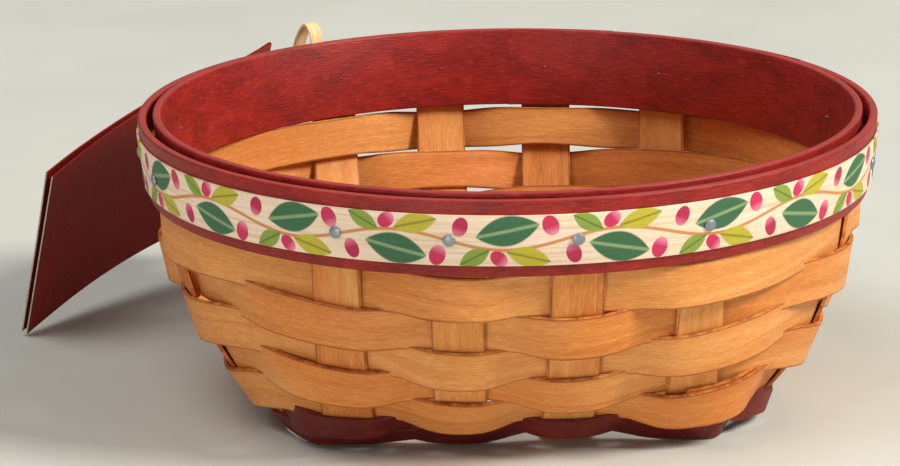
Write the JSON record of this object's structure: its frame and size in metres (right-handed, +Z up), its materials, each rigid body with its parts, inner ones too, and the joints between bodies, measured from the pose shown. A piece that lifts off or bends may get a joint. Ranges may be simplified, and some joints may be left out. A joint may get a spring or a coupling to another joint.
{
  "type": "berry basket",
  "caption": "Small woven wood-splint basket with an oblong base, a round rim of two nailed bands, a printed trim strip and a folded tag that swings on a lace.",
  "frame": {"origin": "middle of the oblong base, on the plane that the basket stands on", "axes": "+Z up out of the mouth, -Y towards the front side with four uprights, +X to its right"},
  "size_m": [0.2132, 0.2093, 0.075],
  "materials": {
    "natural_maple": "sliced, clear sealed",
    "stained_maple": "stained, satin",
    "printed_trim": "printed veneer, satin",
    "steel": "dull wire steel",
    "card": "matt printed card",
    "lace": "matt"
  },
  "bodies": {
    "basket": {"stake_front_back_1": "natural_maple", "stake_front_back_2": "natural_maple", "stake_front_back_3": "natural_maple", "stake_front_back_4": "natural_maple", "stake_side_side_1": "natural_maple", "stake_side_side_2": "natural_maple", "stake_side_side_3": "natural_maple", "weaver_1": "natural_maple", "weaver_2": "natural_maple", "weaver_3": "natural_maple", "weaver_4": "natural_maple", "weaver_5": "natural_maple", "weaver_6": "stained_maple", "weaver_7": "stained_maple", "outer_band": "stained_maple", "inner_band": "stained_maple", "trim_strip": "printed_trim", "brad_01": "steel", "brad_02": "steel", "brad_03": "steel", "brad_04": "steel", "brad_05": "steel", "brad_06": "steel", "brad_07": "steel", "brad_08": "steel", "brad_09": "steel", "brad_10": "steel", "brad_11": "steel", "brad_12": "steel", "brad_13": "steel", "brad_14": "steel", "tag_lace": "lace"},
    "tag": {"hang_tag": "card"}
  },
  "joints": [
    {"name": "tag_swing", "type": "hinge", "parent": "basket", "child": "tag", "pos_m": [-0.06631, 0.10527, 0.04081], "axis": [-0.7681, 0.5212, 0.372], "range_deg": [0, 60]}
  ]
}
